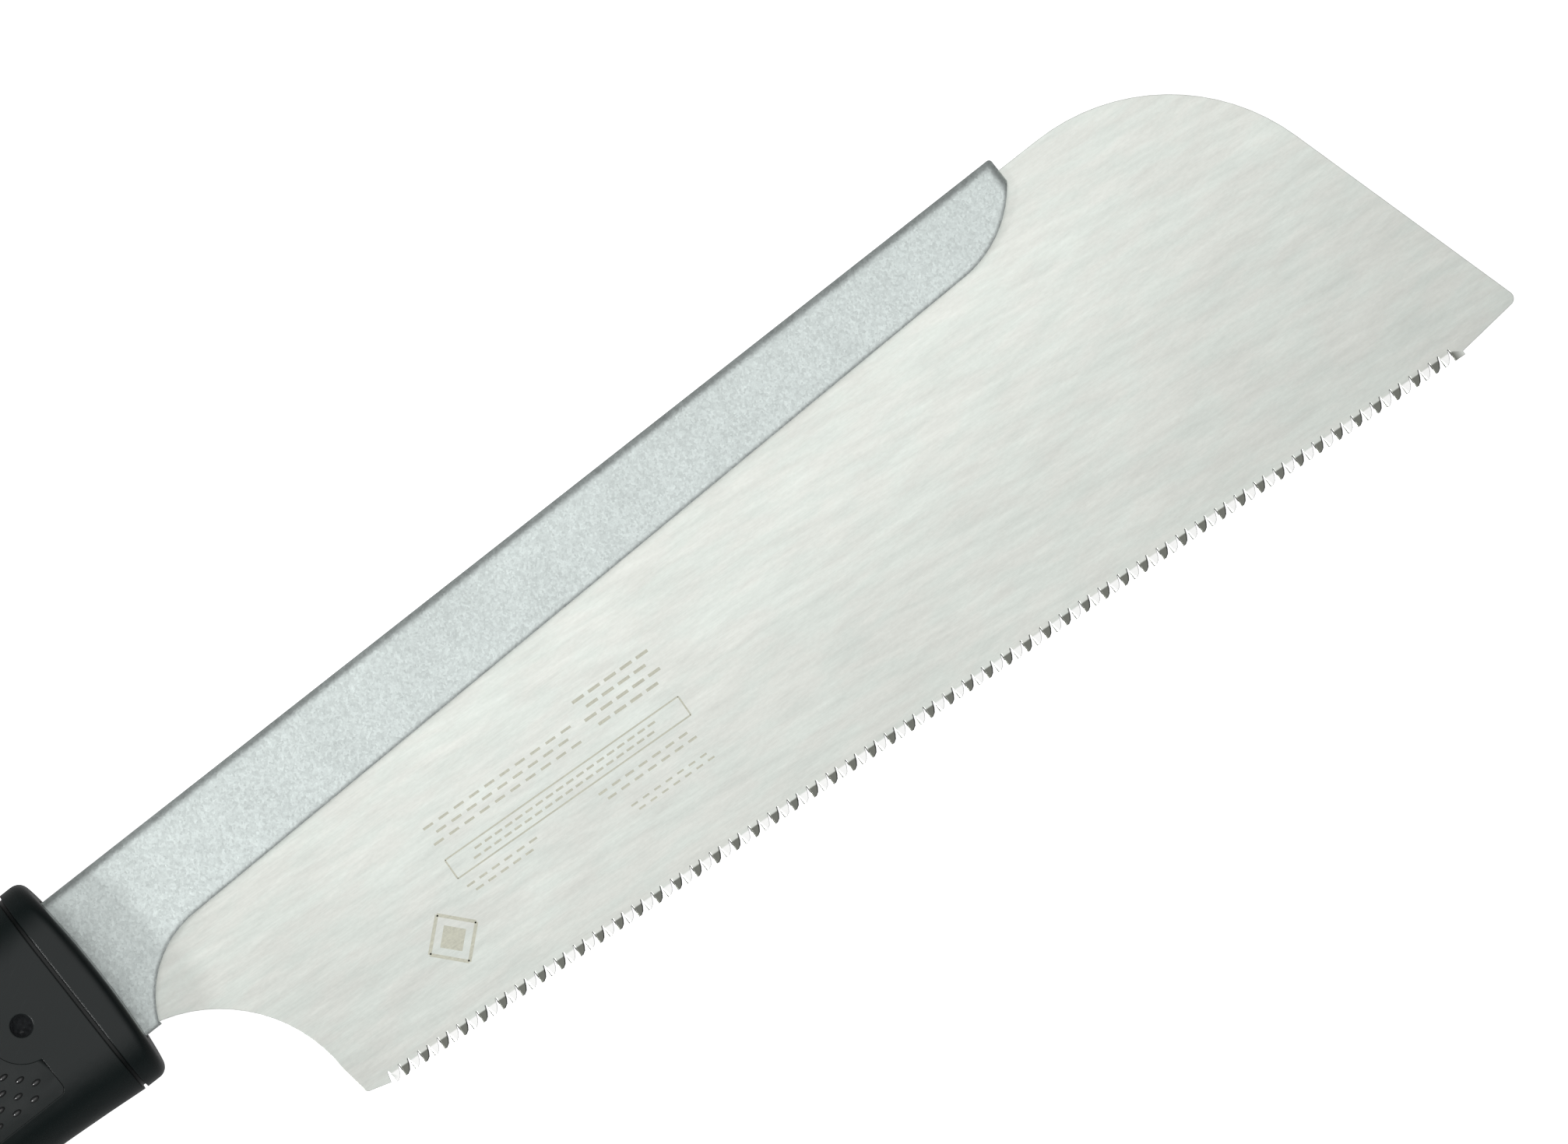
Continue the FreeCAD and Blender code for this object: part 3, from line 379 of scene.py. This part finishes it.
def make_toothed_blade():
    """The blade with its teeth bent to alternate sides; every second tooth is marked for painted shade,
    standing for the shade on its filed face, and the others for a painted highlight.
    """
    set_width = 0.09
    corner_share = 0.03         # of a pitch, so that a tooth's own rear corners count with it
    mesh = welded("blade")
    up = Vector((math.sin(TOOTH_LINE_ANGLE), math.cos(TOOTH_LINE_ANGLE), 0))
    root_height = 0.8 * TOOTH_DEPTH
    bevel_height = 0.68 * TOOTH_DEPTH
    for height in (root_height, bevel_height):
        bmesh.ops.bisect_plane(mesh, geom=mesh.verts[:] + mesh.edges[:] + mesh.faces[:], dist=WELD / 10,
                               plane_co=at(0, -TOOTH_LINE_DROP) + up * height * MM, plane_no=up)
    shade = mesh.verts.layers.float.new("painted_tooth_shade_and_highlight")
    last_tooth = at(LAST_TOOTH, 0).x
    for vert in mesh.verts:
        along, height = on_tooth_line(vert.co)
        tooth = math.floor(along / TOOTH_PITCH + corner_share)
        if tooth < 0 or height > root_height or vert.co.x > last_tooth:
            continue
        side = 1 if tooth % 2 else -1
        # the mark for painted shade (positive) or a painted highlight (negative), full from the bevel
        # height down to the tip
        vert[shade] = side * min((root_height - height) / (root_height - bevel_height), 1.0)
        vert.co.z -= side * min((root_height - height) / root_height, 1.0) * set_width * MM
    piece = object_from(mesh, "toothed_blade", "blade_unit")
    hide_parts("blade")
    return piece


def box_of_corners(mesh, centre, half_along, half_across, half_up, turn):
    """A closed box, turned in the blade's plane."""
    matrix = Matrix.Translation(centre) @ Matrix.Rotation(turn, 4, "Z")
    matrix = matrix @ Matrix.Diagonal((2 * half_along * MM, 2 * half_across * MM, 2 * half_up * MM, 1))
    bmesh.ops.create_cube(mesh, size=1.0, matrix=matrix)


def make_etched_marks():
    """Plain marks in the blade's face: a diamond, rows of dashes and a thin frame. They spell nothing."""
    rise = 0.004                # above the blade's face
    mesh = bmesh.new()
    line = Vector((math.cos(BRUSHING_SLOPE), math.sin(BRUSHING_SLOPE), 0))
    up = Vector((-line.y, line.x, 0))
    corner = at(43.9, -10.4, BLADE_HALF)

    def bar(along, across, length, width, turn=0.0):
        """A bar centred at a place given along and across the rows from the first row's start."""
        centre = corner + (line * along + up * across) * MM
        box_of_corners(mesh, centre, length / 2, width / 2, rise, BRUSHING_SLOPE + turn)

    def dashes(start, finish, across, length, gap, width):
        """A row of equal bars between two places along the row."""
        place = start + length / 2
        while place + length / 2 <= finish:
            bar(place, across, length, width)
            place += length + gap

    # above the frame
    for level in range(3):
        shift = 1.2 if level % 2 else 0.0
        dashes(shift, 24.0, -1.0 - level * 1.2, 1.5, 0.9, 0.34)
    for level in range(4):
        shift = 1.2 if level % 2 else 0.0
        dashes(25.0 + shift, 37.0, 1.3 - level * 1.4, 1.8, 0.7, 0.42)
    # the frame, and inside it
    frame_length, frame_height = 36.6, 2.9
    frame_low = -8.7
    for across in (frame_low, frame_low + frame_height):
        bar(frame_length / 2, across, frame_length, 0.22)
    for along in (0.0, frame_length):
        bar(along, frame_low + frame_height / 2, 0.22, frame_height)
    for level in range(2):
        dashes(3.2 + level * 0.8, 33.0, frame_low + 0.95 + level * 1.0, 1.1, 0.5, 0.3)
    # below the frame
    for level in range(2):
        dashes(0.4 + level * 0.7, 12.0, frame_low - 1.5 - level * 1.0, 1.2, 0.75, 0.3)
        dashes(21.0 + level * 0.7, 36.0, frame_low - 1.6 - level * 1.1, 1.3, 0.8, 0.32)
        dashes(23.6 + level * 0.6, 36.0, frame_low - 5.2 - level * 0.9, 1.0, 0.8, 0.26)
    # the diamond, filled in the middle
    diamond = -4.9, -14.6
    half = 2.6
    turn = math.radians(45)
    for sign in (-1, 1):
        offset = sign * half / math.sqrt(2)
        bar(diamond[0] + offset, diamond[1] + offset, 2 * half, 0.45, turn + math.radians(90))
        bar(diamond[0] + offset, diamond[1] - offset, 2 * half, 0.45, turn)
    bar(diamond[0], diamond[1], 2.9, 2.9, turn)
    return object_from(mesh, "etched_marks", "blade_unit")


def make_lowered_pad(node, side):
    """A grip pad whose face is sunk by the height of the nubs that stand on it."""
    sink = 0.4
    inner = 8.4                 # everything further out from the middle of the blade is sunk
    mesh = welded(node)
    for vert in mesh.verts:
        if (vert.co.z - COLLAR_CROWN.z) * side > inner * MM:
            vert.co.z -= side * sink * MM
    bmesh.ops.recalc_face_normals(mesh, faces=mesh.faces[:])
    piece = object_from(mesh, node + "_base", "handle")
    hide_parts(node)
    return smoothed(piece, 35)


def add_nub(mesh, matrix):
    """A closed oblong dome of unit half-length, half-width and height, placed by a matrix."""
    around, up = 14, 4
    rings = []
    for level in range(up):
        angle = math.pi / 2 * level / up
        radius, height = math.cos(angle), math.sin(angle)
        rings.append([mesh.verts.new(matrix @ Vector((radius * math.cos(2 * math.pi * k / around),
                                                      radius * math.sin(2 * math.pi * k / around), height)))
                      for k in range(around)])
    top = mesh.verts.new(matrix @ Vector((0, 0, 1)))
    for lower, upper in zip(rings, rings[1:]):
        for k in range(around):
            following = (k + 1) % around
            mesh.faces.new((lower[k], lower[following], upper[following], upper[k]))
    for k in range(around):
        mesh.faces.new((rings[-1][k], rings[-1][(k + 1) % around], top))
    mesh.faces.new(rings[0][::-1])


def make_nubs(name, pad, side):
    """Staggered rows of oblong nubs along the handle, each seated square on the pad."""
    row_gap, nub_gap = 1.55, 2.9
    half_length, half_width, height = 0.72, 0.37, 0.48
    first_x, first_y = -13.6, -7.8
    rows = 11
    margin = 0.5                # of flat pad around a nub
    steepest = 0.6              # the pad's normal along the ray
    tallest_step = 0.8
    root = 0.1                  # how deep a nub is sunk in the pad
    pad_rear = pad.bound_box[0][0]
    well_above = 20
    tree = BVHTree.FromObject(pad, bpy.context.evaluated_depsgraph_get())
    mesh = bmesh.new()
    for row in range(rows):
        y = first_y + row * row_gap
        x = first_x - (nub_gap / 2 if row % 2 else 0.0)
        while at(x, 0).x > pad_rear + (half_length + margin) * MM:
            seats = []
            for dx, dy in ((0, 0), (half_length + margin, 0), (-half_length - margin, 0),
                           (0, half_width + margin), (0, -half_width - margin)):
                above = at(x + dx, y + dy, well_above * side)
                place, normal, _, _ = tree.ray_cast(above, Vector((0, 0, -side)))
                seats.append((place, normal))
            x -= nub_gap
            faces_out = all(place and normal.z * side > steepest
                            and abs(place.z - seats[0][0].z) < tallest_step * MM
                            for place, normal in seats if seats[0][0])
            if not seats[0][0] or not faces_out:
                continue
            place, normal = seats[0]
            turn = normal.to_track_quat("Z", "Y").to_matrix().to_4x4()
            along = turn.inverted() @ Vector((1, 0, 0))
            spin = Matrix.Rotation(math.atan2(along.y, along.x), 4, "Z")
            scale = Matrix.Diagonal((half_length * MM, half_width * MM, height * MM, 1))
            sunk = place - normal * root * MM
            add_nub(mesh, Matrix.Translation(sunk) @ turn @ spin @ scale)
    piece = object_from(mesh, name, "handle")
    piece.data.shade_smooth()
    return piece


# ---------------------------------------------------------------- the saw

black = glossy_black_plastic()
rubber = soft_grip_rubber()
nub = nub_rubber()
steel = brushed_blade_steel()
zinc = zinc_plating()
oxide = black_oxide()

dress(make_toothed_blade(), steel)
dress(make_etched_marks(), etched_steel())
dress(nodes["folded_back"], sparkling_back_paint())

for name in ("front_collar", "left_shell", "right_shell", "end_cap"):
    dress(nodes[name], black)
for name in ("tang_holder", "holder_pin", "lock_nut"):
    dress(nodes[name], zinc)
for name in ("lock_screw", "lock_washer", "shell_screws"):
    dress(nodes[name], oxide)
dress(nodes["hang_eyelet"], nickel_plating())

for side_name, side in (("left", 1), ("right", -1)):
    pad = dress(make_lowered_pad(f"{side_name}_grip_pad", side), rubber)
    dress(make_nubs(f"{side_name}_grip_nubs", pad, side), nub)


# ---------------------------------------------------------------- studio

def make_floor():
    """A pale table that glows a little, as a light table does."""
    bpy.ops.mesh.primitive_plane_add(size=8.0, location=(0, 0, -0.0001))
    floor = bpy.context.object
    floor.name = "table"
    s = Shader("pale_table", roughness=0.7, specular=0.2)
    paper = s.noise(4.0, detail=4.0)
    s.set("Base Color", s.mix(s.remap(paper, 0.3, 0.7, 0.0, 1.0), (0.9, 0.9, 0.9, 1),
                              (0.93, 0.93, 0.93, 1)))
    s.set("Emission Color", (1, 1, 1, 1))
    s.set("Emission Strength", 0.85)
    floor.data.materials.append(s.material)
    floor.visible_glossy = False


def make_sky():
    """Soft light that is strongest straight above and falls off towards the horizon."""
    world = bpy.data.worlds.new("studio")
    bpy.context.scene.world = world
    world.use_nodes = True
    tree = world.node_tree
    background = tree.nodes["Background"]
    place = tree.nodes.new("ShaderNodeTexCoord")
    split = tree.nodes.new("ShaderNodeSeparateXYZ")
    ramp = tree.nodes.new("ShaderNodeValToRGB")
    tree.links.new(place.outputs["Generated"], split.inputs["Vector"])
    tree.links.new(split.outputs["Z"], ramp.inputs["Fac"])
    tree.links.new(ramp.outputs["Color"], background.inputs["Color"])
    stops = ((0.0, 0.2), (0.35, 0.12), (0.62, 0.3), (0.8, 0.62), (0.93, 0.88), (1.0, 1.0))
    for number, (height, grey) in enumerate(stops):
        if number < 2:
            stop = ramp.color_ramp.elements[number]
            stop.position = height
        else:
            stop = ramp.color_ramp.elements.new(height)
        stop.color = (grey, grey, grey, 1)
    background.inputs["Strength"].default_value = 1.06


def add_softbox(name, place, aim, size, power):
    light = bpy.data.lights.new(name, "AREA")
    light.shape = "RECTANGLE"
    light.size, light.size_y = size
    light.energy = power
    lamp = bpy.data.objects.new(name, light)
    bpy.context.scene.collection.objects.link(lamp)
    lamp.location = place
    lamp.rotation_euler = (Vector(aim) - Vector(place)).to_track_quat("-Z", "Y").to_euler()


def make_camera():
    """Looks straight down, turned so that the back rises to the right."""
    frame_width = 0.2014
    sensor_width = 36.0
    lens = 600.0
    turn = math.radians(-38.145)
    data = bpy.data.cameras.new("camera")
    data.sensor_width = sensor_width
    data.lens = lens
    data.clip_end = 20.0
    camera = bpy.data.objects.new("camera", data)
    bpy.context.scene.collection.objects.link(camera)
    camera.location = at(100.73, -13.96) + Vector((0, 0, frame_width * lens / sensor_width))
    camera.rotation_euler = (0, 0, turn)
    bpy.context.scene.camera = camera


make_floor()
make_sky()
add_softbox("key", (-0.85, 0.1, 0.75), (0, 0, 0), (0.22, 0.14), 9.0)
make_camera()
bpy.context.scene.view_settings.view_transform = "Standard"
